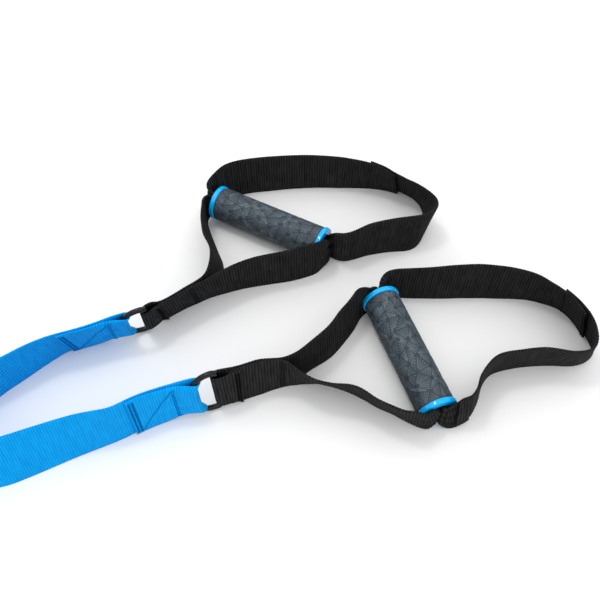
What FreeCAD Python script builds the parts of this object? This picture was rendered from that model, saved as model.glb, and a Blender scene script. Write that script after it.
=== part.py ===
import FreeCAD, Part
import math
import os

from FreeCAD import Vector

# Strap trainer: one flat blue band with a handle and foot loop at each end.
# It lies on a floor at z = 0. Lengths are millimetres, +Z is up. Every webbing stands
# on its edge, so its width is its height and its route is drawn in plan.
# "near" is the handle at lower y, "far" the one at higher y.

# Plan point at the middle of the object's footprint, which becomes the origin.
ORIGIN = Vector(-54.7, -28.1, 0)

# Webbing
WIDTH = 50.0                   # width of blue and black webbing, which is its height here
THICK = 2.2                    # thickness of one layer
ROUNDING = 0.45                # share of the shorter run that an arc takes at a route's corner

# D-ring, on its edge, with its straight bar in the black webbing and its bow in the blue
WIRE = 5.0                     # wire diameter
RING_HEIGHT = 56.0             # outside height
RING_DEPTH = 22.0              # from the bar's axis to the bow's axis
BOW_RADIUS = 16.0              # round shoulders of the bow, on the wire's axis
CORNER_RADIUS = 4.75           # corners beside the bar, on the wire's axis
RING_MIDDLE = RING_HEIGHT / 2  # the ring stands on the floor
RING_HEADING = 22.0            # direction in plan from the bow to the bar
BAND_HEADING = 198.5           # direction in plan of the blue band from the bow
LOOP_GAP = 0.35                # clearance between the wire and the webbing round it
BAR_LOOP = 41.0                # webbing gathered to this height on the straight bar
BOW_LOOP = 19.0                # and to this height on the bow
FLARE = 16.0                   # distance in which it spreads to its full width again
LOOP_SWELL = 0.95              # share of the loop's outside radius that the spread starts with
FLOOR_LIFT = 1.4 * THICK       # times the sine of a ring's lean: raises what leans onto the floor

# Grip
GRIP_LENGTH = 124.0
SLEEVE_DIAMETER = 34.0
TUBE_OUTSIDE = 28.0
TUBE_BORE = 25.0
END_RING_DIAMETER = 36.0
END_RING_THICK = 5.0
END_RING_BORE = 23.2
END_RING_ROUND = 1.5           # round edges of an end ring
SPIGOT_LENGTH = 9.0            # the part of an end ring that is pressed into the tube
GRIP_MIDDLE = 20.0             # height of the grip's axis
CORE_RADIUS = 11.2             # webbing curled up inside the bore
CORE_OPENING = 80.0            # degrees missing from the curl
FOLDED_LOOP = (12.4, 8.0)      # section of the foot loop's webbing, folded in four
GRIP_GAP = 1.0                 # gap between an end ring and the gathered webbing
THROAT_LENGTH = 11.0           # length in which the gathered webbing spreads
THROAT_SPREAD = (9.0, 40.0)    # its width and height at the wide end

# Coil of the band's spare length, standing on its edge like the rest
COIL_CENTRE = Vector(-337, -172, 0)
COIL_RADIUS = 34.0
COIL_HOLE = 8.0
COIL_BASE = 1.5                # the tie passes underneath
TIE_WIDTH = 20.0
TIE_THICK = 1.2
TIE_ANGLE = 150.0

# Stitching
THREAD = 0.4                   # height of a row of stitches above the webbing
TACK_WIDTH = 2.4               # width of a bar tack
SEAM_WIDTH = 1.0               # width of a plain row
SEAM_MARGIN = 4.0              # distance from the webbing's edge
EYE_LENGTH = 54.0              # the band's folded and sewn end
EYE_NEAR_ROW = 21.0            # first row of the eye, from the bow


class Side:
    """Where one handle lies: its ring, its grip and the routes of its webbing, in plan.
    bar is where the ring's bar stands, lean is the ring's lean to the left of its heading,
    and split is where the handle's two legs part."""

    def __init__(self, name, bar, lean, split, grip_centre, grip_heading, **routes):
        self.name = name
        self.lean = lean
        self.bar = Vector(*bar, 0)
        self.bow = self.bar - heading(RING_HEADING) * RING_DEPTH
        self.split = Vector(*split, 0)
        leaned = heading(RING_HEADING + 90) * (RING_MIDDLE * math.sin(math.radians(lean)))
        tab = self.split - self.bar - leaned
        self.tab_heading = math.degrees(math.atan2(tab.y, tab.x))
        self.tab_length = tab.Length
        self.band_start = self.bow + leaned + heading(BAND_HEADING) * EYE_LENGTH
        self.grip_centre = Vector(*grip_centre, GRIP_MIDDLE)
        self.grip_axis = heading(grip_heading)
        self.routes = {key: [Vector(*point, 0) for point in points] for key, points in routes.items()}

    def stand(self, shape, degrees, place):
        """Puts a part of the ring or its loops at its place, turned in plan and leaning."""
        turned(shape, degrees, place)
        shape.rotate(self.bar, heading(RING_HEADING), -self.lean)
        # The webbing's lower corner would be under the floor without this.
        shape.translate(Vector(0, 0, FLOOR_LIFT * math.sin(math.radians(abs(self.lean)))))
        return shape


def heading(degrees):
    """Unit vector in plan."""
    angle = math.radians(degrees)
    return Vector(math.cos(angle), math.sin(angle), 0)


NEAR = Side(
    "near", bar=(-67.5, -112), lean=5.0, split=(-10, -92),
    grip_centre=(95.4, -69.4), grip_heading=-70.5,
    leg_back=[(9, -80), (26, -64), (39, -46), (50, -31), (54.5, -16), (60, -4), (71, 1)],
    leg_front=[(12, -101), (37, -107), (60, -117), (84, -131), (103, -139), (119, -136)],
    foot_loop_back=[(71, 1), (90, 4), (118, 1), (150, 3), (192, 2), (220, -3), (239, -14),
                    (252, -29), (258, -45)],
    foot_loop_front=[(240, -11), (255, -28), (262, -45), (262, -61), (255, -76), (239, -80),
                     (205, -77), (182, -80), (165, -88), (156, -104), (145, -121), (132, -132),
                     (119, -136)],
    band=[(-176, -149), (-213, -162), (-240, -173), (-280, -188), (-325, -204)])

FAR = Side(
    "far", bar=(-140.5, -32), lean=-15.0, split=(-95, -7),
    grip_centre=(-31.2, 81.2), grip_heading=-28.0,
    leg_back=[(-83, 15), (-86, 45), (-93, 67), (-98, 88), (-99, 104), (-94, 114)],
    leg_front=[(-70, 3), (-41, 13), (-10, 21), (11, 29), (24, 38), (31, 48)],
    foot_loop_back=[(-94, 114), (-80, 132), (-62, 140), (-34, 145), (4, 149), (44, 148),
                    (76, 142), (98, 130)],
    foot_loop_front=[(70, 147), (101, 133), (122, 119), (135, 104), (139, 86), (129, 69),
                     (111, 62), (90, 61), (70, 56), (50, 46), (31, 48)],
    band=[(-236, -78), (-262, -98), (-285, -132), (-303, -172)])

shapes = {}


def add(name, shape):
    """Keeps a sub-part under its name, moved so that the footprint's middle is the origin."""
    shape = shape.removeSplitter()
    shape.translate(ORIGIN * -1)
    if not shape.isValid():
        raise ValueError(name + " is not a valid solid")
    shapes[name] = shape


# ---- webbing ----

def route_pieces(points):
    """Straight runs and tangent arcs along a route: (start, end) or (start, middle, end, centre)."""
    pieces = []
    here = points[0]
    for before, corner, after in zip(points, points[1:], points[2:]):
        run_in = corner - before
        run_out = after - corner
        half_turn = run_in.getAngle(run_out) / 2
        setback = ROUNDING * min(run_in.Length, run_out.Length)
        radius = setback / math.tan(half_turn)
        run_in.normalize()
        run_out.normalize()
        inward = run_out - run_in
        inward.normalize()
        centre = corner + inward * (radius / math.cos(half_turn))
        start = corner - run_in * setback
        end = corner + run_out * setback
        pieces.append((here, start))
        pieces.append((start, centre - inward * radius, end, centre))
        here = end
    pieces.append((here, points[-1]))
    return pieces


def beside(piece, offset):
    """Edge that runs beside one piece of a route, offset to its left."""
    if len(piece) == 2:
        start, end = piece
        along = end - start
        along.normalize()
        shift = Vector(-along.y, along.x, 0) * offset
        return Part.LineSegment(start + shift, end + shift).toShape()
    start, middle, end, centre = piece
    radius = (start - centre).Length
    turns_left = (middle - start).cross(end - middle).z > 0
    scale = 1 - offset / radius if turns_left else 1 + offset / radius
    moved = [centre + (point - centre) * scale for point in (start, middle, end)]
    return Part.Arc(*moved).toShape()


def webbing(points):
    """One layer of webbing on its edge along a route."""
    pieces = route_pieces(points)
    left = [beside(piece, THICK / 2) for piece in pieces]
    right = [beside(piece, -THICK / 2) for piece in pieces]
    caps = [Part.LineSegment(left[0].firstVertex().Point, right[0].firstVertex().Point).toShape(),
            Part.LineSegment(left[-1].lastVertex().Point, right[-1].lastVertex().Point).toShape()]
    outline = Part.Wire(Part.__sortEdges__(left + right + caps))
    return Part.Face(outline).extrude(Vector(0, 0, WIDTH))


def upright(x, half_width, low, high):
    """Rectangle across a strip that runs along local x."""
    corners = [Vector(x, -half_width, low), Vector(x, half_width, low),
               Vector(x, half_width, high), Vector(x, -half_width, high)]
    return Part.makePolygon(corners + corners[:1])


def turned(shape, degrees, place):
    """Turns a shape about its own z axis and moves it."""
    shape.rotate(Vector(0, 0, 0), Vector(0, 0, 1), degrees)
    shape.translate(place)
    return shape


def sewn_loop(loop_height, length):
    """Webbing folded round an upright wire at the origin and sewn together along +x."""
    inside = WIRE / 2 + LOOP_GAP
    outside = inside + THICK
    low = RING_MIDDLE - loop_height / 2
    high = RING_MIDDLE + loop_height / 2
    barrel = Part.makeCylinder(outside, loop_height, Vector(0, 0, low))
    spread = Part.makeLoft([upright(1, outside * LOOP_SWELL, low, high), upright(FLARE, THICK, 0, WIDTH)],
                           True, True)
    doubled = Part.makeBox(length - FLARE, 2 * THICK, WIDTH, Vector(FLARE, -THICK, 0))
    body = barrel.fuse([spread, doubled])
    # The wire's shoulders curve away above and below the loop, so the way round them stays open.
    room = Part.makeCylinder(inside, RING_HEIGHT, Vector(0, 0, 0))
    return body.cut(room)


def stitch_row(x_from, z_from, x_to, z_to, width, face):
    """A raised row of stitches on one face of a doubled strip that runs along local x."""
    start = Vector(x_from, 0, z_from)
    along = Vector(x_to, 0, z_to) - start
    row = Part.makeBox(along.Length, THREAD, width, Vector(0, 0, -width / 2))
    tilt = math.degrees(math.atan2(along.z, along.x))
    row.rotate(Vector(0, 0, 0), Vector(0, 1, 0), -tilt)
    low = THICK if face > 0 else -THICK - THREAD
    row.translate(start + Vector(0, low, 0))
    return row


def stitching(rows):
    """Rows of stitches on both faces of a doubled strip, as one group."""
    groups = []
    for face in (1, -1):
        solids = [stitch_row(*row, face) for row in rows]
        groups.append(solids[0].fuse(solids[1:]))
    return Part.makeCompound(groups)


# ---- band, from coil to eyes ----

def make_eye(side):
    eye = sewn_loop(BOW_LOOP, EYE_LENGTH)
    low = SEAM_MARGIN
    high = WIDTH - SEAM_MARGIN
    far_row = EYE_LENGTH - SEAM_MARGIN
    rows = [(far_row, low, far_row, high, TACK_WIDTH),
            (EYE_NEAR_ROW, low, EYE_NEAR_ROW, high, SEAM_WIDTH),
            (EYE_NEAR_ROW, low, far_row, high, SEAM_WIDTH)]
    add("band_eye_" + side.name, side.stand(eye, BAND_HEADING, side.bow))
    add("band_stitching_" + side.name, side.stand(stitching(rows), BAND_HEADING, side.bow))


def make_band_run(side):
    run = webbing([side.band_start] + side.routes["band"])
    spool = Part.makeCylinder(COIL_RADIUS, WIDTH + COIL_BASE, COIL_CENTRE)
    add("band_run_" + side.name, run.cut(spool))


def make_coil():
    outer = Part.makeCylinder(COIL_RADIUS, WIDTH, COIL_CENTRE + Vector(0, 0, COIL_BASE))
    hole = Part.makeCylinder(COIL_HOLE, WIDTH, COIL_CENTRE + Vector(0, 0, COIL_BASE))
    coil = outer.cut(hole)
    around = Part.makeBox(COIL_RADIUS - COIL_HOLE + 2 * TIE_THICK, TIE_WIDTH, WIDTH + 2 * TIE_THICK,
                          Vector(COIL_HOLE - TIE_THICK, -TIE_WIDTH / 2, COIL_BASE - TIE_THICK))
    turned(around, TIE_ANGLE, COIL_CENTRE)
    add("band_coil", coil)
    add("coil_tie", around.cut(coil))


# ---- ring ----

def make_ring(side):
    half = (RING_HEIGHT - WIRE) / 2
    bar_half = half - CORNER_RADIUS
    bow_half = half - BOW_RADIUS
    eighth = 1 - math.cos(math.pi / 4)
    corner = CORNER_RADIUS * eighth
    shoulder = BOW_RADIUS * eighth

    def at(x, z):
        return Vector(x, 0, RING_MIDDLE + z)

    edges = [Part.LineSegment(at(0, -bar_half), at(0, bar_half))]
    for up in (1, -1):
        edges += [
            Part.Arc(at(0, up * bar_half), at(-corner, up * (half - corner)),
                     at(-CORNER_RADIUS, up * half)),
            Part.LineSegment(at(-CORNER_RADIUS, up * half), at(BOW_RADIUS - RING_DEPTH, up * half)),
            Part.Arc(at(BOW_RADIUS - RING_DEPTH, up * half),
                     at(shoulder - RING_DEPTH, up * (half - shoulder)),
                     at(-RING_DEPTH, up * bow_half))]
    edges.append(Part.LineSegment(at(-RING_DEPTH, -bow_half), at(-RING_DEPTH, bow_half)))
    spine = Part.Wire(Part.__sortEdges__([edge.toShape() for edge in edges]))
    section = Part.Wire(Part.makeCircle(WIRE / 2, at(0, 0), Vector(0, 0, 1)))
    ring = spine.makePipeShell([section], True, False)
    print("ring", side.name, "volume", round(ring.Volume), "of",
          round(spine.Length * math.pi * WIRE ** 2 / 4))
    add("d_ring_" + side.name, side.stand(ring, RING_HEADING, side.bar))


# ---- handle webbing ----

def throat(side, end):
    """Gathered webbing between the bore and the flat bands. end is 1 at the front, -1 at the back."""
    out = side.grip_axis * end
    mouth = side.grip_centre + out * (GRIP_LENGTH / 2 + GRIP_GAP)
    wide = mouth + out * THROAT_LENGTH + Vector(0, 0, WIDTH / 2 - GRIP_MIDDLE)
    narrow = Part.Wire(Part.makeCircle(CORE_RADIUS, mouth, out))
    across = THROAT_SPREAD[0] / 2
    tall = THROAT_SPREAD[1] / 2
    oval = Part.Ellipse(wide + Vector(0, 0, tall), wide + out.cross(Vector(0, 0, 1)) * across, wide)
    return Part.makeLoft([narrow, Part.Wire(oval.toShape())], True, True)


def along_axis(shape, side):
    """Moves a shape made along local x, from 0, onto the grip's axis."""
    length = GRIP_LENGTH + 2 * GRIP_GAP
    shape.translate(Vector(-length / 2, 0, 0))
    degrees = math.degrees(math.atan2(side.grip_axis.y, side.grip_axis.x))
    return turned(shape, degrees, side.grip_centre)


def make_cores(side):
    """The handle's webbing curled up in the bore, with the foot loop's folded inside the curl."""
    length = GRIP_LENGTH + 2 * GRIP_GAP
    axis = Vector(1, 0, 0)
    whole = Vector(0, 0, 0)
    curl = Part.makeCylinder(CORE_RADIUS, length, whole, axis, 360 - CORE_OPENING)
    curl = curl.cut(Part.makeCylinder(CORE_RADIUS - THICK, length, whole, axis))
    wide, tall = FOLDED_LOOP
    folded = Part.makeBox(length, wide, tall, Vector(0, -wide / 2, -tall / 2))
    add("handle_core_" + side.name, along_axis(curl, side))
    add("foot_loop_core_" + side.name, along_axis(folded, side))


def make_handle(side):
    tab = sewn_loop(BAR_LOOP, side.tab_length)
    low = SEAM_MARGIN
    high = WIDTH - SEAM_MARGIN
    near_row = FLARE + SEAM_MARGIN
    far_row = side.tab_length - SEAM_MARGIN
    rows = [(near_row, low, near_row, high, SEAM_WIDTH), (far_row, low, far_row, high, TACK_WIDTH)]
    add("handle_tab_" + side.name, side.stand(tab, side.tab_heading, side.bar))
    add("handle_stitching_" + side.name, side.stand(stitching(rows), side.tab_heading, side.bar))

    throats = {"front": throat(side, 1), "back": throat(side, -1)}
    for end, gathered in throats.items():
        add("throat_" + end + "_" + side.name, gathered)
    gathered = throats["front"].fuse(throats["back"])

    across = heading(side.tab_heading + 90) * (THICK / 2)
    starts = {"leg_back": side.split + across, "leg_front": side.split - across}
    for leg, start in starts.items():
        add(leg + "_" + side.name, webbing([start] + side.routes[leg]).cut(gathered))
    for half in ("foot_loop_back", "foot_loop_front"):
        add(half + "_" + side.name, webbing(side.routes[half]).cut(gathered))


# ---- grip ----

def make_grip(side):
    sleeve_length = GRIP_LENGTH - 2 * END_RING_THICK
    axis = side.grip_axis
    start = side.grip_centre - axis * (sleeve_length / 2)

    def tube(outside, bore):
        outer = Part.makeCylinder(outside / 2, sleeve_length, start, axis)
        return outer.cut(Part.makeCylinder(bore / 2, sleeve_length, start, axis))

    add("grip_tube_" + side.name, tube(TUBE_OUTSIDE, TUBE_BORE))
    add("grip_sleeve_" + side.name, tube(SLEEVE_DIAMETER, TUBE_OUTSIDE))
    for end, name in ((1, "front"), (-1, "back")):
        out = axis * end
        face = side.grip_centre + out * (sleeve_length / 2)
        flange = Part.makeCylinder(END_RING_DIAMETER / 2, END_RING_THICK, face, out)
        rims = [edge for edge in flange.Edges if edge.Closed]
        flange = flange.makeFillet(END_RING_ROUND, rims)
        spigot = Part.makeCylinder(TUBE_BORE / 2, SPIGOT_LENGTH, face - out * SPIGOT_LENGTH, out)
        bore = Part.makeCylinder(END_RING_BORE / 2, END_RING_THICK + SPIGOT_LENGTH,
                                 face - out * SPIGOT_LENGTH, out)
        add("end_ring_" + name + "_" + side.name, flange.fuse(spigot).cut(bore))


make_coil()
for side in (NEAR, FAR):
    make_eye(side)
    make_band_run(side)
    make_ring(side)
    make_cores(side)
    make_handle(side)
    make_grip(side)

whole = Part.makeCompound(list(shapes.values()))
box = whole.BoundBox
for axis in ("X", "Y", "Z"):
    print("box", axis, round(getattr(box, axis + "Min"), 2), round(getattr(box, axis + "Max"), 2))
os.makedirs("parts", exist_ok=True)
for name, shape in shapes.items():
    shape.exportStep("parts/" + name + ".step")
print(len(shapes), "sub-parts")
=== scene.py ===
import math
import random

import bpy
import numpy as np
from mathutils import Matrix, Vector


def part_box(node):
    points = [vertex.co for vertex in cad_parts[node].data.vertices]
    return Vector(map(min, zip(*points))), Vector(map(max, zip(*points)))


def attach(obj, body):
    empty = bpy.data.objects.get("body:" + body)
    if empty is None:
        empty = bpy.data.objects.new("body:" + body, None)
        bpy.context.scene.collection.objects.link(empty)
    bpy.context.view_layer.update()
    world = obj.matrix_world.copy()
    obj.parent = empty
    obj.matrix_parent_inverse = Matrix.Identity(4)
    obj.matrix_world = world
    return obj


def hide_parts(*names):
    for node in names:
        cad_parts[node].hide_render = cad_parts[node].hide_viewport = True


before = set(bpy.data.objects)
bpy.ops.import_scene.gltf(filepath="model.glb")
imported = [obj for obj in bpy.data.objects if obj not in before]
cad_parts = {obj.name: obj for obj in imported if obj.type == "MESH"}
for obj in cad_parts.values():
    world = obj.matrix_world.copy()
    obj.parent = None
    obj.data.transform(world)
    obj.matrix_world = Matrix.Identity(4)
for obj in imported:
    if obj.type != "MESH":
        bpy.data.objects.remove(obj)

# Plan points and sizes below are millimetres, on the same plan as the CAD model's routes.
# point() turns them into the frame's metres.
MM = 0.001
PLAN_ORIGIN = np.array([-54.7, -28.1, 0.0])
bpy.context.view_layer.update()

WIDTH = 50.0                   # of all the webbing
THICK = 2.2
LAYER = 1.15                   # from the middle of two sewn layers to the middle of one
SELVEDGE_START = 0.93          # where the woven edges begin, as a share of the half width
SELVEDGE_WIDTH = 0.07
SELVEDGE_THINNING = 0.45
EDGE_BULGE = 0.7               # how far the round edges stand out past the width
PLEAT_WAVES = 3.0              # half waves of gathered webbing from its middle to an edge

RING_DEPTH = 22.0              # from the ring's bar to its bow
RING_HEADING = 22.0
RING_MIDDLE = 28.0             # from its foot to its middle, along the bar
FLOOR_LIFT = 1.4 * THICK       # what a leaning ring is raised by, per sine of its lean
BOW_STRAIGHT = 9.5             # half length of the bow's straight stretch
BOW_RADIUS = 16.0              # its round shoulders
WRAP = 3.95                    # radius of webbing folded round the ring's wire
EYE_HALF = 20.5                # half widths of the webbing where it goes round the wire
TAB_HALF = 21.0

GRIP_MIDDLE = 20.0             # height of the grip's axis
GRIP_LENGTH = 124.0
SLEEVE_LENGTH = GRIP_LENGTH - 10
SLEEVE_RADIUS = 17.0
SLEEVE_BORE = 14.1
SLEEVE_SEEDS = {"near": 11, "far": 23}
SLEEVE_STEP = 0.4              # spacing of the sleeve's mesh
RELIEF_HEIGHT = 0.5            # what a relief of 1 stands above a relief of 0
PATTERN_COLUMNS = 10
PATTERN_ROWS = 11
PATTERN_JITTER = 0.36          # how far a corner moves, as a share of a cell
FAN_SHARES = (0.14, 0.32, 0.5, 0.68, 0.86)
FAN_START = 0.3                # where a fan's lines start and end, on the way from its corner to
FAN_END = 0.94                 # the triangle's opposite side
FAN_LINE = 1.0                 # heights of the pattern's lines, where plain rubber is 0
GROOVE = -0.4
LINE_HALVES = {FAN_LINE: 0.32, GROOVE: 0.4}

COIL_CENTRE = np.array([-337.0, -172.0])
COIL_RADIUS = 34.0
COIL_CORE = 10.5               # radius of the innermost turn
COIL_PITCH = 2.36              # one layer and the gap beside it
COIL_EXITS = {"near": -70.0, "far": -27.0}
COIL_BASE = 1.5                # height of the coil's lower edge
COIL_STEP = 1.5                # spacing of the mesh's rows in the coil
TIE_HEADING = 150.0            # the side of the coil where its tie is
TIE_REACH = (7.0, 35.0)        # the tie's inside and outside, from the coil's centre
TIE_WIDTH = 20.0

BLUE_RIB = 2.2                 # from rib to rib along the webbing
BLACK_RIB = 2.7
STEPS_PER_RIB = 4
YARN = 1.1                     # from yarn to yarn across it
WAVE_PERIOD = 0.314            # a wave texture's period in metres at a scale of 1

THREAD_RADIUS = 0.38
THREAD_SIDES = 6
# One stitch: share of its length, height of its middle and girth, both as shares of the radius.
STITCH_SHAPE = ((0.0, -0.5, 0.6), (0.12, 0.35, 0.9), (0.35, 0.75, 1.0), (0.65, 0.75, 1.0),
                (0.88, 0.35, 0.9), (1.0, -0.5, 0.6))
SEAM_EDGE = 0.9                # how far across the strip the stitches reach, where 1 is its edge
ROW_STITCH = (2.4, 0.5)        # length and gap
WHOLE_STITCH = (9.0, 0.2)      # longer than any swing of a bar tack, so each swing is one stitch

PLAN = {
    "near": {
        "bar": (-67.5, -112), "lean": 5.0, "split": (-10, -92),
        "grip": (95.4, -69.4), "grip_heading": -70.5},
    "far": {
        "bar": (-140.5, -32), "lean": -15.0, "split": (-95, -7),
        "grip": (-31.2, 81.2), "grip_heading": -28.0}}


def heading(degrees):
    angle = math.radians(degrees)
    return np.array([math.cos(angle), math.sin(angle)])


GRIP_FRONTS = {side: plan["grip"] + heading(plan["grip_heading"]) * GRIP_LENGTH / 2
               for side, plan in PLAN.items()}
# The foot loop's tail: its start past the grip, its length and how far its top is above the loop's.
TAIL = {"near": (13, 11.5, 4.0), "far": (10, 16, 1.2)}
TAIL_LIFT = 5.0                # how far its lower edge is above the loop's


def left_of(direction):
    return np.array([-direction[1], direction[0]])


def knot(place, tilt=(0, 0), low=0.0, high=None, pleat=0.0, bow=0.0):
    """A control point of a webbing's route. place is its middle in plan and tilt is how far its
    top edge lies from its bottom edge in plan. low and high are the heights of the two edges, and
    without high it has its full width. pleat is the height of its pleats, and bow is how far it
    follows the curve of the ring's bow."""
    sideways = math.hypot(*tilt)
    if high is None:
        high = low + math.sqrt(WIDTH ** 2 - sideways ** 2)
    return (place[0], place[1], (low + high) / 2, tilt[0] / 2, tilt[1] / 2, (high - low) / 2, pleat, bow)


def knots(*rows):
    """Control points from rows of x, y and the knot's other values in order."""
    return [knot(row[:2], *row[2:]) for row in rows]


def through(controls, samples=16):
    """Samples of a smooth curve through all the control points. The lean and the other values
    change evenly from one point to the next."""
    controls = np.asarray(controls, float)
    places = controls[:, :3]
    gaps = np.sqrt(np.linalg.norm(np.diff(places, axis=0), axis=1)) + 1e-6
    at = np.concatenate([[0], np.cumsum(gaps)])
    count = len(at)
    system = np.zeros((count, count))
    target = np.zeros((count, 3))
    system[0, 0] = system[-1, -1] = 1.0
    for i in range(1, count - 1):
        before, after = gaps[i - 1], gaps[i]
        system[i, i - 1], system[i, i], system[i, i + 1] = before, 2 * (before + after), after
        target[i] = 6 * ((places[i + 1] - places[i]) / after - (places[i] - places[i - 1]) / before)
    bend = np.linalg.solve(system, target)
    rows = [controls[0]]
    for i, gap in enumerate(gaps):
        for t in np.linspace(0, 1, samples + 1)[1:]:
            u = 1 - t
            row = controls[i] * u + controls[i + 1] * t
            row[:3] += gap ** 2 / 6 * ((u ** 3 - u) * bend[i] + (t ** 3 - t) * bend[i + 1])
            rows.append(row)
    return np.array(rows)


def eased(rows, spread=4.0):
    """Evenly spaced rows with the lean, fullness and pleats smoothed along the strip."""
    step = np.linalg.norm(rows[1, :3] - rows[0, :3])
    reach = max(1, int(round(2.5 * spread / step)))
    weights = np.exp(-0.5 * (np.arange(-reach, reach + 1) * step / spread) ** 2)
    weights /= weights.sum()
    smooth = rows.copy()
    for column in range(3, rows.shape[1]):
        padded = np.pad(rows[:, column], reach, mode="edge")
        smooth[:, column] = np.convolve(padded, weights, mode="valid")
    return smooth


def travel_along(places):
    """Distance of each place from the first one, along them all."""
    return np.concatenate([[0], np.cumsum(np.linalg.norm(np.diff(places, axis=0), axis=1))])


def evenly(rows, step):
    """Rows spaced evenly along their first three columns, which are x, y and z."""
    travel = travel_along(rows[:, :3])
    stations = np.linspace(0, travel[-1], max(2, int(round(travel[-1] / step)) + 1))
    return np.stack([np.interp(stations, travel, column) for column in rows.T], axis=1)


def unit(vectors):
    return vectors / np.linalg.norm(vectors, axis=-1, keepdims=True)


class Webbing:
    """A woven strip that follows a route. Distances along it are millimetres from its start,
    and across it runs from -1 at its lower edge to 1 at its upper one."""

    def __init__(self, rows, width=WIDTH, thick=THICK, pitch=BLACK_RIB, ribs=0.12, across=14,
                 width_axis=None):
        self.width = width
        self.thick = thick
        self.pitch = pitch
        self.ribs = ribs
        self.across = np.linspace(-1, 1, across + 1)
        self.rows = rows
        places = rows[:, :3]
        self.travel = travel_along(places)
        self.length = self.travel[-1]
        along = unit(np.gradient(places, axis=0))
        self.half = rows[:, 3:6] if width_axis is None else np.tile(
            np.asarray(width_axis, float) * width / 2, (len(rows), 1))
        self.out = unit(np.cross(self.half, along))

    def sheet(self, stations, across, side):
        """Points on one face of the strip: side 1 is on its left, -1 on its right, 0 its middle."""
        stations = np.asarray(stations, float)
        across = np.asarray(across, float)

        def at(values):
            if values.ndim == 1:
                return np.interp(stations, self.travel, values)
            return np.stack([np.interp(stations, self.travel, column) for column in values.T], -1)

        place, half_way, out = at(self.rows[:, :3]), at(self.half), unit(at(self.out))
        pleat, bow = at(self.rows[:, 6]), at(self.rows[:, 7])
        wide = unit(half_way)
        half = np.linalg.norm(half_way, axis=-1)
        shoulder = np.clip(np.abs(half * across) - BOW_STRAIGHT, 0, BOW_RADIUS - 0.5)
        inward = bow * (BOW_RADIUS - np.sqrt(BOW_RADIUS ** 2 - shoulder ** 2))
        place = place + inward[..., None] * np.append(heading(RING_HEADING), 0)
        phase = math.pi * PLEAT_WAVES * across
        rise = pleat * np.cos(phase)
        slope = -pleat * math.pi * PLEAT_WAVES * np.sin(phase)
        size = np.sqrt(half ** 2 + slope ** 2)
        into_edge = np.clip((np.abs(across) - SELVEDGE_START) / SELVEDGE_WIDTH, 0, 1)
        selvedge = 1 - SELVEDGE_THINNING * into_edge ** 2
        rib = 1 + self.ribs * np.cos(2 * math.pi * stations / self.pitch)
        depth = side * self.thick / 2 * selvedge * rib
        lateral = across * half - depth * slope / size
        height = rise + depth * half / size
        return place + wide * lateral[..., None] + out * height[..., None]

    def mesh(self, name):
        """Closed mesh of the strip, with its length and width in metres as its UV map."""
        count, wide = len(self.travel), len(self.across)
        stations = np.repeat(self.travel, wide)
        across = np.tile(self.across, count)
        left = self.sheet(stations, across, 1).reshape(count, wide, 3)
        right = self.sheet(stations, across, -1).reshape(count, wide, 3)
        bulge = EDGE_BULGE / self.width
        low = self.sheet(self.travel, np.full(count, -1.0 - bulge), 0)[:, None]
        high = self.sheet(self.travel, np.full(count, 1.0 + bulge), 0)[:, None]
        section = np.concatenate([left, high, right[:, ::-1], low], axis=1)
        around = section.shape[1]
        vertices = point(section.reshape(-1, 3))
        first = np.arange(count - 1)[:, None] * around + np.arange(around)[None]
        second = np.arange(count - 1)[:, None] * around + (np.arange(around) + 1) % around
        faces = np.stack([first, second, second + around, first + around], -1).reshape(-1, 4).tolist()
        for base, flip in ((0, True), ((count - 1) * around, False)):
            for j in range(wide - 1):
                cap = [base + j, base + j + 1, base + 2 * wide - 1 - j, base + 2 * wide - j]
                faces.append(cap[::-1] if flip else cap)
            for corner in ([wide - 1, wide, wide + 1], [2 * wide, 2 * wide + 1, 0]):
                tip = [base + c for c in corner]
                faces.append(tip[::-1] if flip else tip)
        mesh = bpy.data.meshes.new(name)
        mesh.from_pydata(vertices.tolist(), [], faces)
        edge = self.width / 2 + 0.5
        lateral = np.concatenate([self.across * self.width / 2, [edge],
                                  self.across[::-1] * self.width / 2, [-edge]])
        uv_of_vertex = np.stack([np.repeat(self.travel, around), np.tile(lateral, count)], 1) * MM
        loops = np.zeros(len(mesh.loops), int)
        mesh.loops.foreach_get("vertex_index", loops)
        uv = mesh.uv_layers.new(name="UVMap")
        uv.data.foreach_set("uv", uv_of_vertex[loops].astype(np.float32).ravel())
        return mesh


def point(places):
    """Plan millimetres to the frame's metres."""
    return (np.asarray(places, float) - PLAN_ORIGIN) * MM


def place_piece(name, mesh, material, body):
    piece = bpy.data.objects.new(name, mesh)
    bpy.context.scene.collection.objects.link(piece)
    mesh.materials.append(material)
    mesh.polygons.foreach_set("use_smooth", [True] * len(mesh.polygons))
    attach(piece, body)
    return piece


# ---- materials ----

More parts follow.
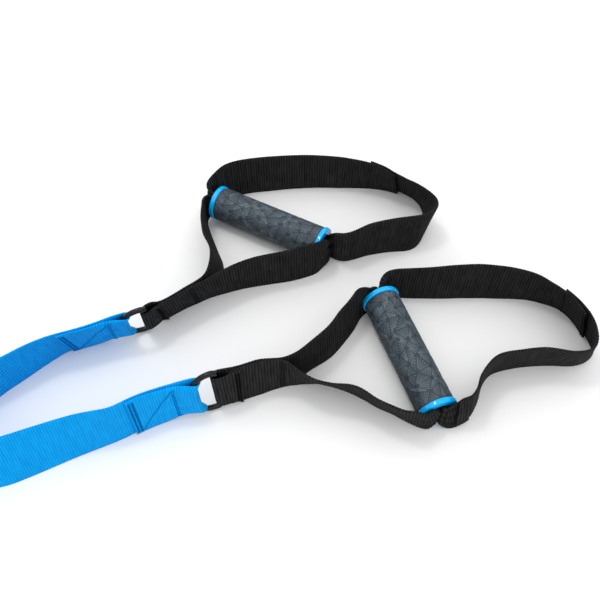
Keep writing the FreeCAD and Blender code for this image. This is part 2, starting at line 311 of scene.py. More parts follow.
class Nodes:
    """Short way to build a material's nodes."""

    def __init__(self, name):
        self.material = bpy.data.materials.new(name)
        self.material.use_nodes = True
        self.tree = self.material.node_tree
        self.shader = self.tree.nodes["Principled BSDF"]

    def add(self, kind, inputs=None, **settings):
        node = self.tree.nodes.new(kind)
        for key, value in settings.items():
            setattr(node, key, value)
        for key, value in (inputs or {}).items():
            self.set(node.inputs[key], value)
        return node

    def set(self, socket, value):
        if isinstance(value, bpy.types.NodeSocket):
            self.tree.links.new(value, socket)
        else:
            socket.default_value = value

    def shade(self, **values):
        for key, value in values.items():
            self.set(self.shader.inputs[key.replace("_", " ")], value)
        return self.material

    def plus(self, first, second):
        return self.add("ShaderNodeMath", {0: first, 1: second}, operation="ADD").outputs[0]

    def times(self, first, second):
        return self.add("ShaderNodeMath", {0: first, 1: second}, operation="MULTIPLY").outputs[0]

    def place(self):
        return self.add("ShaderNodeNewGeometry").outputs["Position"]

    def wave(self, vector, period, direction, **inputs):
        values = {"Vector": vector, "Scale": WAVE_PERIOD / period, "Detail": 2.0}
        values.update({key.replace("_", " "): value for key, value in inputs.items()})
        node = self.add("ShaderNodeTexWave", values, wave_type="BANDS", bands_direction=direction)
        return node.outputs["Fac"]

    def ramp(self, factor, *stops):
        node = self.add("ShaderNodeValToRGB", {"Fac": factor})
        elements = node.color_ramp.elements
        while len(elements) < len(stops):
            elements.new(0.5)
        for element, (position, colour) in zip(elements, stops):
            element.position = position
            element.color = (*colour, 1)
        return node.outputs["Color"]

    def noise(self, vector, scale, detail=3.0):
        node = self.add("ShaderNodeTexNoise", {"Vector": vector, "Scale": scale, "Detail": detail})
        return node.outputs["Fac"]

    def bump(self, height, distance, strength):
        inputs = {"Height": height, "Distance": distance, "Strength": strength}
        return self.add("ShaderNodeBump", inputs).outputs["Normal"]


def rgb(*display):
    """Linear colour from display values of 0 to 255."""
    return tuple(((c / 255 + 0.055) / 1.055) ** 2.4 if c > 10 else c / 255 / 12.92 for c in display)


def woven(name, pitch, rib_shading, streaking, dark_tone_and_valley_shade, light_tone_and_ridge_highlight, sheen, roughness, specular):
    """Ribbed webbing: ribs across its width, yarns that cross them, uneven streaks along the ribs
    and slight random tone changes. The weave in the colour is painted shade in the ribs' valleys
    and a painted highlight on their ridges."""
    nodes = Nodes(name)
    place = nodes.add("ShaderNodeUVMap", uv_map="UVMap").outputs["UV"]
    ribs = nodes.wave(place, pitch * MM, "X", Distortion=0.9, Detail_Scale=1.5)
    yarns = nodes.wave(place, YARN * MM, "Y", Distortion=1.2)
    weave = nodes.times(ribs, nodes.plus(nodes.times(yarns, 0.35), 0.65))
    stretched = nodes.add("ShaderNodeMapping", {"Vector": place, "Scale": (1, 0.16, 1)}).outputs["Vector"]
    streaks = nodes.noise(stretched, 0.8 / (pitch * MM), 4.0)
    patches = nodes.noise(place, 45.0)
    grain = nodes.noise(place, 2600.0, 2.0)
    # Painted light: the weave darkens the colour in the ribs' valleys as painted shade and lightens it on
    # their ridges as a painted highlight. The streaks and spots are the cloth's own uneven tone.
    lines = nodes.plus(nodes.times(weave, rib_shading), nodes.times(streaks, streaking))
    spots = nodes.plus(nodes.times(patches, 0.18), nodes.times(grain, 0.2))
    colour = nodes.ramp(nodes.plus(lines, spots), (0.34, dark_tone_and_valley_shade), (0.88, light_tone_and_ridge_highlight))
    height = nodes.plus(weave, nodes.times(grain, 0.25))
    normal = nodes.bump(height, 0.0004, 0.6)
    return nodes.shade(Base_Color=colour, Roughness=roughness, Sheen_Weight=sheen,
                       Sheen_Roughness=0.45, Specular_IOR_Level=specular, Normal=normal)


def thread(name, colour, light):
    """Sewing thread with a fine twist."""
    nodes = Nodes(name)
    place = nodes.place()
    twist = nodes.noise(place, 2500.0, 2.0)
    return nodes.shade(Base_Color=nodes.ramp(twist, (0.35, colour), (0.7, light)), Roughness=0.9,
                       Specular_IOR_Level=0.05, Normal=nodes.bump(twist, 0.0002, 0.6))


def painted_steel():
    """Glossy black paint, slightly worn and uneven."""
    nodes = Nodes("ring_steel_black")
    place = nodes.place()
    wear = nodes.noise(place, 160.0, 5.0)
    ripple = nodes.noise(place, 900.0, 2.0)
    colour = nodes.ramp(wear, (0.45, rgb(2, 2, 3)), (0.8, rgb(12, 12, 14)))
    rough = nodes.ramp(wear, (0.4, (0.05,) * 3), (0.75, (0.1,) * 3))
    return nodes.shade(Base_Color=colour, Roughness=rough, Specular_IOR_Level=0.35,
                       Normal=nodes.bump(ripple, 0.0002, 0.1))


def gloss_plastic():
    """Bright blue moulded plastic with a slight haze."""
    nodes = Nodes("end_ring_blue")
    place = nodes.place()
    haze = nodes.noise(place, 300.0, 4.0)
    colour = nodes.ramp(haze, (0.3, rgb(0, 168, 244)), (0.75, rgb(0, 186, 255)))
    rough = nodes.ramp(haze, (0.3, (0.06,) * 3), (0.75, (0.14,) * 3))
    return nodes.shade(Base_Color=colour, Roughness=rough, Specular_IOR_Level=0.4,
                       Normal=nodes.bump(haze, 0.0002, 0.1))


def matt_plastic():
    """Grey plastic of the inner tube."""
    nodes = Nodes("tube_plastic_grey")
    place = nodes.place()
    grain = nodes.noise(place, 900.0, 4.0)
    return nodes.shade(Base_Color=nodes.ramp(grain, (0.3, rgb(120, 122, 124)), (0.8, rgb(160, 161, 162))),
                       Roughness=0.6, Normal=nodes.bump(grain, 0.0002, 0.3))


def rubber():
    """Slate rubber, with painted shade in the grooves of the sleeve's relief and painted highlights on its
    raised lines.
    """
    nodes = Nodes("grip_rubber_slate")
    place = nodes.place()
    grain = nodes.noise(place, 1400.0, 4.0)
    mottle = nodes.noise(place, 90.0, 4.0)
    relief = nodes.add("ShaderNodeAttribute", attribute_name="relief").outputs["Fac"]
    spots = nodes.plus(nodes.times(mottle, 0.25), nodes.times(grain, 0.25))
    # The relief in the colour is painted light: darker in the grooves as painted shade, and lighter on the
    # raised lines as a painted highlight. The spots are the rubber's own mottle.
    tone = nodes.plus(nodes.times(relief, 0.6), spots)
    colour = nodes.ramp(tone, (0.25, rgb(36, 43, 51)), (0.52, rgb(45, 54, 62)), (0.88, rgb(100, 112, 121)))
    return nodes.shade(Base_Color=colour, Roughness=0.58, Specular_IOR_Level=0.3,
                       Normal=nodes.bump(grain, 0.0003, 0.4))


def floor_paint():
    """Matt white floor."""
    nodes = Nodes("floor_white")
    place = nodes.place()
    tone = nodes.noise(place, 3.0)
    return nodes.shade(Base_Color=nodes.ramp(tone, (0.2, (0.9,) * 3), (0.8, (0.92,) * 3)), Roughness=0.9,
                       Specular_IOR_Level=0.1)


# Each webbing's two colours are its own dark and light tones, and also the painted shade in the rib valleys
# and the painted highlight on the ridges.
BLUE = woven("webbing_blue", BLUE_RIB, rib_shading=0.34, streaking=0.45, dark_tone_and_valley_shade=rgb(0, 132, 210),
             light_tone_and_ridge_highlight=rgb(2, 176, 250), sheen=0.02, roughness=0.85, specular=0.08)
BLACK = woven("webbing_black", BLACK_RIB, rib_shading=0.36, streaking=0.6, dark_tone_and_valley_shade=rgb(4, 4, 5),
              light_tone_and_ridge_highlight=rgb(50, 50, 51), sheen=0.0, roughness=0.9, specular=0.06)
BLUE_THREAD = thread("thread_blue", rgb(0, 92, 160), rgb(0, 122, 196))
BLACK_THREAD = thread("thread_black", rgb(14, 14, 15), rgb(46, 46, 48))
# The tab's tack thread is near-black, darker than the other black thread, so that it also paints the shadow
# along the step at the folded end's edge: a real tack and painted shade.
TACK_THREAD_AND_STEP_SHADOW = thread("thread_tack_black_and_step_shadow", rgb(4, 4, 5), rgb(16, 16, 18))
TIE = woven("hook_and_loop_black", BLACK_RIB, rib_shading=0.36, streaking=0.5, dark_tone_and_valley_shade=rgb(8, 8, 9),
            light_tone_and_ridge_highlight=rgb(34, 34, 36), sheen=0.2, roughness=0.95, specular=0.15)
RUBBER = rubber()
STEEL = painted_steel()
PLASTIC = gloss_plastic()
TUBE = matt_plastic()


# ---- routes ----

class Line:
    """A smooth line in plan through a few points."""

    def __init__(self, *points):
        rows = through([knot(place) for place in points])
        self.places = evenly(rows, 0.5)[:, :2]
        self.travel = travel_along(self.places)

    def at(self, distance, aside=0.0):
        """The point at a distance from the start, and aside to the line's left."""
        end = self.travel[-1]
        reach = min(max(distance, 0), end)
        place, ahead, behind = [
            np.array([np.interp(at, self.travel, self.places[:, i]) for i in range(2)])
            for at in (reach, min(reach + 2, end), max(reach - 2, 0))]
        along = unit(ahead - behind)
        return place + along * (distance - reach) + left_of(along) * aside


def ring_line(side, away):
    """Where a line of the ring's wire is half way up: its bar, or its bow away from it. Also the
    height there, and the wire's lean: what it moves aside in plan for 1 mm along it."""
    lean = math.radians(PLAN[side]["lean"])
    foot = np.array(PLAN[side]["bar"]) - heading(RING_HEADING) * away
    aside = heading(RING_HEADING + 90) * math.sin(lean)
    height = RING_MIDDLE * math.cos(lean) + FLOOR_LIFT * math.sin(abs(lean))
    return foot + aside * RING_MIDDLE, height, aside


def wrap(line, middle, aside, half, turn, bow=0.0):
    """Knots of webbing folded round an upright wire at the start of a line. turn is 1 where it
    comes from the line's left."""
    rows = []
    tilt = aside * 2 * half
    rise = half * math.sqrt(1 - (aside ** 2).sum())
    for angle in (0, 45, 90, 135, 180):
        back = WRAP * math.sin(math.radians(angle))
        beside = WRAP * math.cos(math.radians(angle)) * turn
        rows.append(knot(line.at(-back, beside), tilt, middle - rise, middle + rise, bow=bow))
    return rows


EYE_LINES = {
    "near": ((-96.5, -119.5), (-104, -120.5), (-126, -128), (-140, -135.1)),
    "far": ((-170, -50.5), (-188, -55.5), (-209.5, -62.7))}
EYE_TILTS = {"near": (-1, 5), "far": (0, -14)}
TAB_LINES = {
    "near": ((-61, -107), (-53, -103.4), (-37, -97.4), (-22, -94.4), (-10, -92)),
    "far": ((-131, -32), (-122, -25), (-108, -15.5), (-95, -7))}
TAB_TILTS = {"near": (0, 6), "far": (1, -17)}
TAB_HEIGHT = 47.5
SPLIT_TILTS = {"near": (0, -1), "far": (0, -15)}
FOLD_LENGTHS = {"near": 19, "far": 16}
EYE_SEAMS = {"near": 38, "far": 42}    # the double seam next to the ring, from the band's end
EYE_DIAGONAL = 0.84                    # how far across the diagonal seam reaches
FRONT_END = 9                          # from the ring's bar to the end of the tab's front layer
SPLIT_SEAM = 4                         # from the split towards the ring
LOOP_SEAMS = (2.5, 30.0)               # across the foot loop's overlap, from the strip's ends
# Each handle's legs: from the tab's split to the grip's back end, and from its front end back.
LEGS = {
    "near": (
        knots((0, -84.7), (8.5, -77.2), (26, -62.5, (-3, 3)), (37, -48, (-5, 4)), (47.5, -33.7, (-5, 2.4)),
              (52.5, -25, (-4.9, 1.3)), (56.5, -19.3, (-3.6, 1), 0, 47), (61.5, -14.2, (-2.7, 0), 0, 42, 0.8),
              (66.5, -10, (0, 0), 2, 36, 1.6), (70, -8, (0, 0), 6, 34, 2.4)),
        knots((112.5, -131.5, (0, -1), 5, 33, 2.4), (108.5, -135, (-2, -3), 1, 36, 1.4),
              (103, -136.5, (-4, -6), 0, 41, 0.6), (95.5, -135.5, (-5, -10)), (87, -132.4, (-7, -13.5)),
              (76.6, -126.9, (-8.4, -14.5)), (65.8, -121.6, (-8.3, -13.8)), (57.4, -115.7, (-7, -13.6)),
              (49.2, -110.7, (-6.2, -13.8)), (40.9, -107.2, (-5.3, -16.5)), (28.2, -103.8, (-2.7, -21)),
              (14.6, -100.4, (-3.4, -21)), (8.6, -99.2, (-3.4, -17.7)),
              (2.6, -97.7, (-3, -14.3)), (-5.1, -95.6, (-1.5, -7.5)))),
    "far": (
        knots((-87, 0, (0, -11)), (-82, 12, (-2, -3)), (-80.5, 28, (-8, 0)), (-85.5, 45, (-14, 0)),
              (-91.5, 65, (-9, 0)), (-96.5, 86, (-1, 0), 0, 44), (-98.5, 98, (0, 0), 1, 37, 0.8),
              (-97, 106, (0, 0), 3, 35, 1.8), (-92, 109, (0, 0), 7, 33, 2.4)),
        knots((26.5, 47, (0, -2), 5, 36, 2.2), (26.8, 43, (-1, -3), 1, 42, 1.4),
              (23.5, 38, (-1, -6), 0, 48, 0.7), (14, 31.2, (-3, -2)), (2, 26.5, (0, 0)),
              (-12, 22, (0, -1)), (-41, 15.5, (0, -3)), (-65, 7, (0, -8)), (-80, -0.5, (0, -13)),
              (-88, -4.5, (0, -15))))}
# Each foot loop: from the inner end of its overlap to the grip's back end, and from the grip's
# front end round to the outer end of the overlap.
FOOT_LOOPS = {
    "near": (
        knots((257.5, -45, (-15, -5)), (253, -30.5, (-15, -7)), (243.5, -16.5, (-13, -11)),
              (232, -9, (-10, -9)), (218, -2.5, (-5, -6)), (193, 2), (166, 4, (0, 3)), (140, 3, (0, 2)),
              (118.7, 2.3, (0, 0), 0, 49), (101, 2.8, (0, 0), 0, 47), (92, 3.8, (0, 0), 0, 45),
              (84, 3.5, (0, 0), 1, 42, 0.8), (78.5, 0, (0, 0), 3, 39, 1.6), (76.5, -5, (0, 0), 6, 34, 2.4)),
        knots((120, -130, (0, 1), 5, 33, 2.2), (127.5, -129.5, (-1, 6), 1, 34, 1.4),
              (135.4, -126.6, (-5, 6), 0, 38, 0.5), (141.8, -124.2, (-8.4, -2), 0, 45),
              (146.2, -119.6, (-10.5, -8.5), 0, 47), (150.7, -112, (-10, -10)), (153.8, -103.7, (-9.8, -9)),
              (159.5, -94.5, (-5, -5)), (169, -85.5, (-3, -6)), (186, -80.5, (0, -8)), (208, -77.5, (0, -9)),
              (230, -78.5, (-4, -13)), (246.5, -78, (-7, -12)), (257.5, -71.5, (-11, -10)),
              (263, -59.5, (-15, -5)), (261.5, -46, (-14, -5)), (256, -30, (-15, -7)),
              (246, -15, (-13, -11)))),
    "far": (
        knots((102, 132, (-10, -19)), (89.5, 138.5, (-5, -16)), (74, 143.5, (0, -12)), (44, 147.5, (0, -5)),
              (6, 149, (0, -2)), (-34, 145.5), (-64, 140), (-79, 132.5), (-89, 124, (0, 0), 0, 46),
              (-94, 117.5, (0, 0), 2, 39, 1.6), (-91, 113.5, (0, 0), 7, 33, 2.4)),
        knots((28.3, 54.6, (0, -1), 4, 37, 2.2), (31.3, 51.8, (0, -4), 1, 42, 1.2),
              (36, 48.5, (-1, -4.8), 0, 46.5, 0.4), (43, 46, (-1, -5), 0, 48.5), (53, 48, (0, -4)),
              (66, 54, (0, -1)), (81, 58.3), (98, 61.5, (3, 2)), (114, 64, (6, 4)), (125, 70.5, (7, 2)),
              (132, 83.5, (7, -8)), (133, 98.5, (3, -14)), (125.5, 115.5, (-9, -15)),
              (116.5, 126, (-13, -17)), (102.5, 136.5, (-10, -19)), (90, 142, (-5, -16)),
              (73.5, 146.5, (0, -12))))}
# How far the webbing lies from the grip's axis in the bore, and the height of its pleats there.
HANDLE_BORE = {"near": (-3.4, 3.0), "far": (-3.4, 3.0)}
FOOT_LOOP_BORE = {"near": (3.4, 2.8), "far": (5.2, 2.8)}
BORE_TOP = 28.0                # height of the webbing's upper edge there


def eye_knots(side):
    """The band's sewn end: from the end of the folded layer, round the bow and back."""
    start, middle, aside = ring_line(side, RING_DEPTH)
    line = Line(start, *EYE_LINES[side])
    tilt = EYE_TILTS[side]
    end = line.travel[-1]
    folded = [knot(line.at(s, LAYER), tilt) for s in (end, end - 14)]
    folded += [knot(line.at(24, LAYER + 0.3), tilt, 1.5, 48, -0.6),
               knot(line.at(12, 2.0), aside * 44, 5, 49, -1.1, 0.3)]
    back = [knot(line.at(12, -2.0), aside * 44, 5, 49, 1.1, 0.3),
            knot(line.at(24, -LAYER - 0.3), tilt, 1.5, 48, 0.6)]
    back += [knot(line.at(s, -LAYER), tilt) for s in (end - 14, end)]
    return folded + wrap(line, middle, aside, EYE_HALF, 1, bow=1.0) + back


def coil_strand(side):
    """One strand of the coil, from where it leaves it inwards to the core. The band was folded
    in half and wound from the fold, so the two strands lie turn by turn."""
    out_at = math.radians(COIL_EXITS[side])
    near_out = math.radians(COIL_EXITS["near"])
    start = COIL_RADIUS - THICK / 2
    depth = 0.0 if side == "near" else COIL_PITCH
    turns = (start - COIL_CORE) / (2 * COIL_PITCH)
    inner = near_out - turns * 2 * math.pi
    angles = np.linspace(out_at, inner, 500)
    radii = start - depth - 2 * COIL_PITCH * (near_out - angles) / (2 * math.pi)
    return [knot(COIL_CENTRE + radius * np.array([math.cos(angle), math.sin(angle)]), low=COIL_BASE)
            for radius, angle in zip(radii, angles)]


def join(*stretches):
    """Routes end to end, each already sampled."""
    return np.concatenate([stretches[0]] + [stretch[1:] for stretch in stretches[1:]])


def band_rows():
    """The whole blue band: near eye, near run, coil, far run, far eye."""
    near_strand, far_strand = np.array(coil_strand("near")), np.array(coil_strand("far"))
    near = eye_knots("near") + knots(
        (-152, -140.3, (-1, 5)), (-176, -148, (-3, 11)), (-213, -162.5, (-5, 16)), (-240, -173, (-7, 19)),
        (-280, -188, (-3, 10)), (-306, -197.5, (0, 0), 0.8))
    far = eye_knots("far") + knots(
        (-222, -68.5, (0, -11)), (-236, -79, (0, -7)), (-250, -90.5, (0, -4)), (-266, -104, (2, 2)),
        (-284, -130, (3, 1)), (-298, -160, (0, 0), 0.8))
    near.append(tuple(near_strand[0]))
    far.append(tuple(far_strand[0]))
    step = BLUE_RIB / STEPS_PER_RIB
    near = eased(evenly(through(near), step))
    far = eased(evenly(through(far), step))
    inside = join(evenly(near_strand, COIL_STEP), evenly(far_strand, COIL_STEP)[::-1])
    far = far[::-1].copy()
    far[:, 6] *= -1
    return join(near, inside, far)


def through_grip(side, offset, pleat):
    """Knots of gathered webbing along the grip's bore, from its back end to its front end."""
    plan = PLAN[side]
    centre = np.array(plan["grip"], float)
    axis = heading(plan["grip_heading"])
    aside = left_of(axis) * offset
    reach = GRIP_LENGTH / 2
    return [knot(centre + axis * s + aside, (0, 0), 2 * GRIP_MIDDLE - BORE_TOP, BORE_TOP, pleat)
            for s in (-reach - 1, -reach + 8, -20, 20, reach - 8, reach + 1)]


def handle_rows(side):
    """Handle webbing: from its folded end on the front of the tab, round the bar, along the back
    leg, through the grip, and back along the front leg."""
    start, middle, aside = ring_line(side, 0)
    line = Line(start, *TAB_LINES[side])
    tilt = TAB_TILTS[side]
    end = line.travel[-1]
    low, high = middle - TAB_HALF, middle + TAB_HALF
    fold = FOLD_LENGTHS[side]
    sewn = {"tilt": tilt, "high": TAB_HEIGHT}
    folded = [knot(line.at(fold, -3.4), tilt, 0.0, TAB_HEIGHT + 1),
              knot(line.at(fold - 5, -3.3), tilt, 6.0, TAB_HEIGHT),
              knot(line.at(7, -4.0), aside * 45, low, high)]
    back = [knot(line.at(8, 3.0), aside * 45, low, high), knot(line.at(18, LAYER + 0.2), **sewn),
            knot(line.at(36, LAYER), **sewn), knot(line.at(end - 4, LAYER), SPLIT_TILTS[side])]
    front = [knot(line.at(end - 4, -LAYER), SPLIT_TILTS[side]), knot(line.at(36, -LAYER), **sewn),
             knot(line.at(18, -LAYER), **sewn), knot(line.at(FRONT_END, -1.4), tilt, 2.5, 47)]
    back_leg, front_leg = LEGS[side]
    bore = through_grip(side, *HANDLE_BORE[side])
    stretches = folded + wrap(line, middle, aside, TAB_HALF, -1) + back + back_leg + bore + front_leg + front
    return eased(evenly(through(stretches), BLACK_RIB / STEPS_PER_RIB), 2.5)


def foot_loop_rows(side):
    """Foot loop: from the inner end of its sewn overlap, along the back, through the grip, along
    the front and round to the outer end of the overlap."""
    back, forward = FOOT_LOOPS[side]
    bore = through_grip(side, *FOOT_LOOP_BORE[side])
    return eased(evenly(through(back + bore + forward), BLACK_RIB / STEPS_PER_RIB), 2.5)


# ---- stitches ----

def stitch_mesh(name, strip, runs, side):
    """Short raised stitches on one face of a strip. A run is (from, to, stitch length, gap), where
    from and to are (station, across)."""
    vertices, faces = [], []
    for start, end, length, gap in runs:
        start, end = np.array(start, float), np.array(end, float)
        ends = strip.sheet([start[0], end[0]], [start[1], end[1]], side)
        total = np.linalg.norm(ends[1] - ends[0])
        count = max(1, int(total / (length + gap)))
        for i in range(count):
            a = start + (end - start) * (i + 0.5 * gap / (length + gap)) / count
            b = start + (end - start) * (i + 1 - 0.5 * gap / (length + gap)) / count
            add_stitch(vertices, faces, strip, a, b, side)
    mesh = bpy.data.meshes.new(name)
    mesh.from_pydata(point(vertices).tolist(), [], faces)
    return mesh


def add_stitch(vertices, faces, strip, a, b, side):
    """One stitch: a thread that rises from the cloth, lies on it and dips back into it."""
    base = len(vertices)
    middle = [a + (b - a) * t for t, _, _ in STITCH_SHAPE]
    stations = [m[0] for m in middle]
    across = [m[1] for m in middle]
    on_face = strip.sheet(stations, across, side)
    outward = unit(on_face - strip.sheet(stations, across, 0))
    run = unit((on_face[-1] - on_face[0])[None])[0]
    for place, normal, (_, rise, girth) in zip(on_face, outward, STITCH_SHAPE):
        sideways = np.cross(run, normal)
        for k in range(THREAD_SIDES):
            angle = 2 * math.pi * k / THREAD_SIDES
            around = normal * math.cos(angle) + sideways * math.sin(angle)
            vertices.append(place + normal * rise * THREAD_RADIUS + around * THREAD_RADIUS * girth)
    for row in range(len(STITCH_SHAPE) - 1):
        for k in range(THREAD_SIDES):
            here = base + row * THREAD_SIDES + k
            beside = base + row * THREAD_SIDES + (k + 1) % THREAD_SIDES
            faces.append((here, beside, beside + THREAD_SIDES, here + THREAD_SIDES))
    faces.append(tuple(base + k for k in reversed(range(THREAD_SIDES))))
    last = base + (len(STITCH_SHAPE) - 1) * THREAD_SIDES
    faces.append(tuple(last + k for k in range(THREAD_SIDES)))


def bar_tacks(stations, spread=0.9, pitch=0.85):
    """Bar tacks across the strip: stitches that swing to and fro about each station."""
    steps = int(2 * SEAM_EDGE * WIDTH / 2 / pitch)
    levels = np.linspace(-SEAM_EDGE, SEAM_EDGE, steps + 1)
    runs = []
    for station in stations:
        for i in range(steps):
            swing = spread if i % 2 else -spread
            runs.append(((station - swing, levels[i]), (station + swing, levels[i + 1]), *WHOLE_STITCH))
    return runs


def place_thread(name, strip, runs, face, material, body):
    """The stitches of some runs on one face of a strip, as one piece."""
    return place_piece(name, stitch_mesh(name, strip, runs, face), material, body)


# ---- pieces ----

def make_band():
    """The blue band in one piece, and the stitching of its two eyes."""
    strip = Webbing(band_rows(), pitch=BLUE_RIB, ribs=0.06)
    piece = place_piece("band_webbing", strip.mesh("band_webbing"), BLUE, "band")
    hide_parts("band_coil", *[
        part + "_" + side for side in PLAN for part in ("band_run", "band_eye")])
    # The eyes' folded layers are the two ends of the strip. The near one's outer face is the
    # strip's right face, and the far one's is its left.
    for side, at, face in (("near", lambda s: s, -1), ("far", lambda s: strip.length - s, 1)):
        runs = bar_tacks([at(2.2), at(5.2)], 1.1, 1.1)
        second = EYE_SEAMS[side]
        for station in (second, second + 1.6):
            runs.append(((at(station), -SEAM_EDGE), (at(station), SEAM_EDGE), *ROW_STITCH))
        runs.append(((at(7), -EYE_DIAGONAL), (at(second - 1), EYE_DIAGONAL), *ROW_STITCH))
        name = "band_thread_" + side
        piece = place_thread(name, strip, runs, face, BLUE_THREAD, "band")
        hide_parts("band_stitching_" + side)
    return strip


def make_handle(side):
    """One handle's webbing, with bar tacks at its folded end and where its legs split."""
    body = "handle_" + side
    strip = Webbing(handle_rows(side), across=22)
    name = "handle_webbing_" + side
    piece = place_piece(name, strip.mesh(name), BLACK, body)
    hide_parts(*[part + "_" + side for part in (
        "handle_tab", "leg_front", "leg_back", "handle_core", "throat_front", "throat_back")])
    # These tacks lie along the folded end's step. Their near-black thread also stands for that step's shadow,
    # as painted shade.
    tacks = bar_tacks((2.0, 4.6))
    piece = place_thread("tab_thread_" + side, strip, tacks, 1, TACK_THREAD_AND_STEP_SHADOW, body)
    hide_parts("handle_stitching_" + side)
    tab = Line(ring_line(side, 0)[0], *TAB_LINES[side])
    split = strip.length - (tab.travel[-1] - FRONT_END) + SPLIT_SEAM
    tacks = bar_tacks((split, split + 2.8))
    place_thread("split_thread_" + side, strip, tacks, 1, BLACK_THREAD, body)
    return strip


def make_foot_loop(side):
    """One foot loop's webbing, the bar tacks of its overlap inside and outside, and its tail."""
    body = "handle_" + side
    strip = Webbing(foot_loop_rows(side), across=22)
    name = "foot_loop_webbing_" + side
    piece = place_piece(name, strip.mesh(name), BLACK, body)
    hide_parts(*[part + "_" + side for part in (
        "foot_loop_front", "foot_loop_back", "foot_loop_core")])
    inner = bar_tacks(LOOP_SEAMS)
    outer = bar_tacks([strip.length - seam for seam in LOOP_SEAMS])
    for place, tacks, face in (("inside", inner, 1), ("outside", outer, -1)):
        name = "foot_loop_thread_" + place + "_" + side
        place_thread(name, strip, tacks, face, BLACK_THREAD, body)
    make_tail(side, strip)
    return strip


def make_tail(side, loop):
    """The sewn end of the foot loop's inner layer, doubled over outside the grip's front end."""
    past, length, rise = TAIL[side]
    from_grip = np.linalg.norm(loop.rows[:, :2] - GRIP_FRONTS[side], axis=1)
    start = loop.travel[np.argmin(from_grip)] + past
    inside = (loop.travel > start) & (loop.travel < start + length)
    rows = loop.rows[inside]
    rows[:, :3] -= loop.out[inside] * (THICK + 0.1)
    # Its lower edge is higher than the loop's, and its upper edge shows above it.
    rows[:, 2] += (TAIL_LIFT + rise) / 2
    rows[:, 5] -= (TAIL_LIFT - rise) / 2
    rows[:, 6] = 0
    strip = Webbing(rows, across=22)
    name = "foot_loop_tail_" + side
    piece = place_piece(name, strip.mesh(name), BLACK, "handle_" + side)


def relief_lines(around, along, rng):
    """The sleeve's pattern unrolled, in millimetres: uneven triangles outlined by grooves, and in
    each a fan of raised lines from one of its corners. A line is (start, end, height)."""
    wide, tall = around / PATTERN_COLUMNS, along / PATTERN_ROWS

    def jitter():
        return rng.uniform(-PATTERN_JITTER, PATTERN_JITTER)

    nodes = np.array([[(wide * (i + 0.5 * (j % 2) + jitter()), tall * (j + jitter()))
                       for i in range(PATTERN_COLUMNS)] for j in range(PATTERN_ROWS + 1)])

    def node(i, j):
        return nodes[j, i % PATTERN_COLUMNS] + (around * (i // PATTERN_COLUMNS), 0)

    lines = []
    for j in range(PATTERN_ROWS):
        for i in range(PATTERN_COLUMNS):
            shift = j % 2
            for triangle in (((i, j), (i + 1, j), (i + shift, j + 1)),
                             ((i + 1, j), (i + shift, j + 1), (i + shift + 1, j + 1))):
                corners = [node(*place) for place in triangle]
                lines += [(corners[k], corners[(k + 1) % 3], GROOVE) for k in range(3)]
                tip = rng.randrange(3)
                start, left, right = corners[tip], corners[(tip + 1) % 3], corners[(tip + 2) % 3]
                for share in FAN_SHARES:
                    reach = left + (right - left) * share - start
                    lines.append((start + reach * FAN_START, start + reach * FAN_END, FAN_LINE))
    return lines


def relief_grid(x, y, rng):
    """The sleeve's relief at each place round it and along it: 0.5 is plain rubber, 1 is the top
    of a line and 0.3 the bottom of a groove. It fades to plain rubber at the sleeve's ends."""
    around = 2 * math.pi * SLEEVE_RADIUS
    relief = np.zeros((len(y), len(x)))
    for start, end, height in relief_lines(around, SLEEVE_LENGTH, rng):
        for shift in (-around, 0, around):
            a, b = start + (shift, 0), end + (shift, 0)
            low, high = np.minimum(a, b) - 1, np.maximum(a, b) + 1
            xs = np.where((x >= low[0]) & (x <= high[0]))[0]
            ys = np.where((y >= low[1]) & (y <= high[1]))[0]
            if len(xs) == 0 or len(ys) == 0:
                continue
            grid = np.stack(np.meshgrid(x[xs], y[ys]), -1)
            run = b - a
            t = np.clip(((grid - a) @ run) / (run @ run), 0, 1)
            distance = np.linalg.norm(grid - a - t[..., None] * run, axis=-1)
            line = height * np.clip(1 - (distance / LINE_HALVES[height]) ** 2, 0, 1)
            block = relief[np.ix_(ys, xs)]
            relief[np.ix_(ys, xs)] = np.where(np.abs(line) > np.abs(block), line, block)
    fade = np.clip(np.minimum(y, SLEEVE_LENGTH - y) / 1.5, 0, 1)[:, None]
    return 0.5 + 0.5 * relief * fade


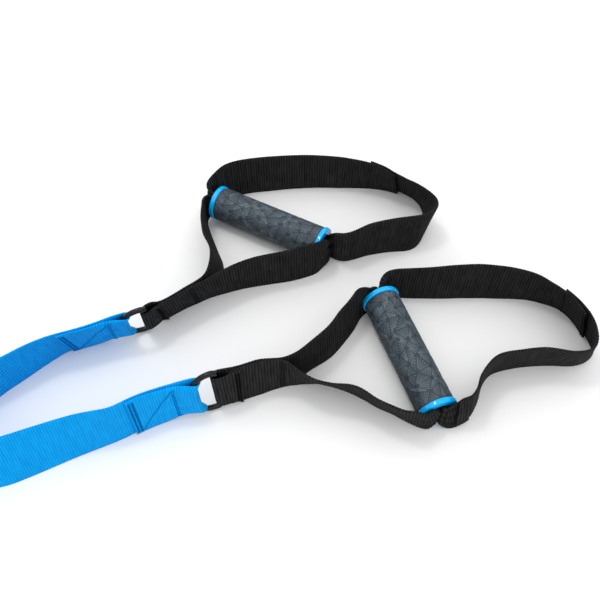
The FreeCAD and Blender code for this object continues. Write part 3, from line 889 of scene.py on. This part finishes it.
def make_sleeve(side):
    """The rubber sleeve: a tube with its raised line pattern in the mesh."""
    plan = PLAN[side]
    rng = random.Random(SLEEVE_SEEDS[side])
    around = 2 * math.pi * SLEEVE_RADIUS
    columns, rows = int(around / SLEEVE_STEP), int(SLEEVE_LENGTH / SLEEVE_STEP)
    x = np.arange(columns) * around / columns
    y = np.arange(rows + 1) * SLEEVE_LENGTH / rows
    relief = relief_grid(x, y, rng)
    radius = SLEEVE_RADIUS + RELIEF_HEIGHT * (relief - 1)
    radius[0] = radius[-1] = SLEEVE_RADIUS - RELIEF_HEIGHT - 0.1
    # The outside from one end to the other, and then the bore's two rims.
    radius = np.concatenate([radius, np.full((2, columns), SLEEVE_BORE)])
    along = np.concatenate([y, [SLEEVE_LENGTH, 0]]) - SLEEVE_LENGTH / 2
    angle = x / SLEEVE_RADIUS
    axis = heading(plan["grip_heading"])
    beside = left_of(axis)
    places = np.zeros((len(along), columns, 3))
    for i in range(2):
        places[..., i] = plan["grip"][i] + axis[i] * along[:, None] + beside[i] * radius * np.cos(angle)
    places[..., 2] = GRIP_MIDDLE + radius * np.sin(angle)
    faces = []
    for row in range(len(along)):
        upper = (row + 1) % len(along)
        for column in range(columns):
            after = (column + 1) % columns
            faces.append((row * columns + column, row * columns + after,
                          upper * columns + after, upper * columns + column))
    name = "grip_sleeve_rubber_" + side
    mesh = bpy.data.meshes.new(name)
    mesh.from_pydata(point(places.reshape(-1, 3)).tolist(), [], faces)
    # The relief is also stored on the mesh for the rubber's colour, which paints shade into its grooves and
    # highlights onto its raised lines.
    attribute = mesh.attributes.new("relief", "FLOAT", "POINT")
    values = np.concatenate([relief.ravel(), np.zeros(2 * columns)]).astype(np.float32)
    attribute.data.foreach_set("value", values)
    piece = place_piece(name, mesh, RUBBER, "grip_" + side)
    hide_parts("grip_sleeve_" + side)


def make_tie():
    """Hook-and-loop tie round one side of the coil, with its end lapped over the outside."""
    low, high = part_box("coil_tie")
    out = heading(TIE_HEADING)
    across = left_of(out)
    inner, outer = TIE_REACH
    base = 0.9
    top = (high - low).z / MM - 0.3
    half_way = (inner + outer) / 2
    half_up = (base + top) / 2
    lap = [(outer + 1.3, 16), (outer + 1.3, 34), (outer + 1.2, top - 3), (outer - 3, top + 1.1)]
    over = [(half_way, top + 1.0), (inner + 3, top + 0.2)]
    down = [(inner, top - 4), (inner, half_up), (inner, base + 4)]
    under = [(inner + 3, base), (half_way, base), (outer - 3, base)]
    up = [(outer, base + 4), (outer, half_up), (outer, top - 4)]
    tucked = [(outer - 3, top - 0.7), (outer - 12, top - 0.4)]
    corners = []
    for reach, height in lap + over + down + under + up + tucked:
        x, y = COIL_CENTRE + out * reach
        corners.append((x, y, height, 0, 0, 1, 0, 0))
    rows = evenly(through(corners, 8), 1.0)
    strip = Webbing(rows, width=TIE_WIDTH, thick=1.1, ribs=0.0, across=8,
                    width_axis=[across[0], across[1], 0])
    piece = place_piece("coil_tie_strap", strip.mesh("coil_tie_strap"), TIE, "band")
    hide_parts("coil_tie")


def paint_hardware(side):
    """Materials of the rings, tube and end rings that keep their CAD shapes."""
    for node, material in (("d_ring", STEEL), ("grip_tube", TUBE), ("end_ring_front", PLASTIC),
                           ("end_ring_back", PLASTIC)):
        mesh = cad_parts[node + "_" + side].data
        mesh.materials.clear()
        mesh.materials.append(material)


band = make_band()
print("band length", round(band.length))
for side in PLAN:
    handle = make_handle(side)
    loop = make_foot_loop(side)
    print(side, "handle length", round(handle.length), "foot loop length", round(loop.length))
    make_sleeve(side)
    paint_hardware(side)
make_tie()


# ---- stage ----

# The stage's places and sizes are metres, its powers are watts and its angles are degrees.
FLOOR_SIZE = 6.0
# The round area lights: place, power and diameter. All point at the middle of the part.
LIGHTS = {
    "key": ((-0.7, 0.8, 1.5), 1.5, 1.2),
    "fill": ((1.2, -0.8, 1.4), 1.5, 1.8),
    "top": ((0.0, -0.1, 2.0), 8, 2.4),
    "glint": ((-0.3, 0.2, 1.4), 3.0, 0.2)}
CAMERA_ELEVATION = 55.67
CAMERA_DISTANCE = 0.636
CAMERA_LENS = 39.168           # in mm, with a sensor 36 mm wide
CAMERA_SENSOR = 36.0


def make_floor():
    size = FLOOR_SIZE
    corners = [(-size, -size, 0), (size, -size, 0), (size, size, 0), (-size, size, 0)]
    mesh = bpy.data.meshes.new("floor")
    mesh.from_pydata(corners, [], [(0, 1, 2, 3)])
    mesh.materials.append(floor_paint())
    floor = bpy.data.objects.new("floor", mesh)
    bpy.context.scene.collection.objects.link(floor)


def make_light(name, place, power, size):
    lamp = bpy.data.lights.new(name, "AREA")
    lamp.shape = "DISK"
    lamp.size = size
    lamp.energy = power
    light = bpy.data.objects.new(name, lamp)
    light.location = place
    light.rotation_euler = (-Vector(place)).to_track_quat("-Z", "Y").to_euler()
    bpy.context.scene.collection.objects.link(light)


def make_world():
    """Even white light from all round."""
    world = bpy.data.worlds.new("studio")
    world.use_nodes = True
    background = world.node_tree.nodes["Background"]
    background.inputs["Color"].default_value = (1, 1, 1, 1)
    background.inputs["Strength"].default_value = 0.98
    bpy.context.scene.world = world


def make_camera():
    elevation = math.radians(CAMERA_ELEVATION)
    data = bpy.data.cameras.new("camera")
    data.sensor_width = CAMERA_SENSOR
    data.lens = CAMERA_LENS
    camera = bpy.data.objects.new("camera", data)
    target = Vector(point((0, 0, 0)).tolist())
    back = Vector((0, -math.cos(elevation), math.sin(elevation)))
    camera.location = target + back * CAMERA_DISTANCE
    camera.rotation_euler = (-back).to_track_quat("-Z", "Y").to_euler()
    bpy.context.scene.collection.objects.link(camera)
    bpy.context.scene.camera = camera


make_floor()
for name, light in LIGHTS.items():
    make_light(name, *light)
make_world()
bpy.context.scene.view_settings.view_transform = "Standard"
make_camera()
